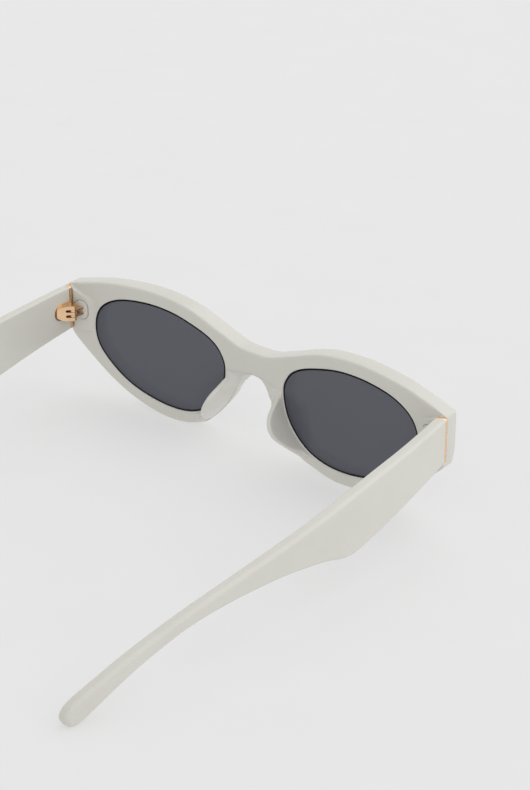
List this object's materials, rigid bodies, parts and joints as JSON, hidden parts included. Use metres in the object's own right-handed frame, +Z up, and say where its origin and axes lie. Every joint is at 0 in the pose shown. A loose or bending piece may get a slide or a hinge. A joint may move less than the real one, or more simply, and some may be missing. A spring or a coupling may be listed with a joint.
{
  "type": "cat eye sunglasses",
  "caption": "Cat eye sunglasses with a thick cream front, smoke grey lenses, gold hinges and end plates, and broad temples that taper to slim bent tips and fold inward.",
  "frame": {"origin": "On the ground, below the middle of the open sunglasses' box", "axes": "+Z up, the front faces -Y and the temples run towards +Y, +X is the wearer's left"},
  "size_m": [0.1486, 0.1519, 0.0423],
  "materials": {
    "acetate": "polished",
    "pad_acetate": "polished",
    "lens": "polished",
    "gold_metal": "polished",
    "wire_steel": "brushed"
  },
  "bodies": {
    "front": {"front_frame": "acetate", "lens_left": "lens", "lens_right": "lens", "nose_pad_left": "pad_acetate", "nose_pad_right": "pad_acetate", "front_hinge_left": "gold_metal", "front_hinge_right": "gold_metal"},
    "temple_left_arm": {"temple_left": "acetate", "end_plate_left": "gold_metal", "temple_hinge_left": "gold_metal", "hinge_screw_left": "gold_metal", "core_wire_left": "wire_steel"},
    "temple_right_arm": {"temple_right": "acetate", "end_plate_right": "gold_metal", "temple_hinge_right": "gold_metal", "hinge_screw_right": "gold_metal", "core_wire_right": "wire_steel"}
  },
  "joints": [
    {"name": "temple_fold_left", "type": "hinge", "parent": "front", "child": "temple_left_arm", "pos_m": [0.0669, -0.06158, 0.02917], "axis": [0, 0.0523, 0.9986], "range_deg": [0, 86.5]},
    {"name": "temple_fold_right", "type": "hinge", "parent": "front", "child": "temple_right_arm", "pos_m": [-0.0669, -0.06158, 0.02917], "axis": [0, -0.0523, -0.9986], "range_deg": [0, 80]}
  ]
}
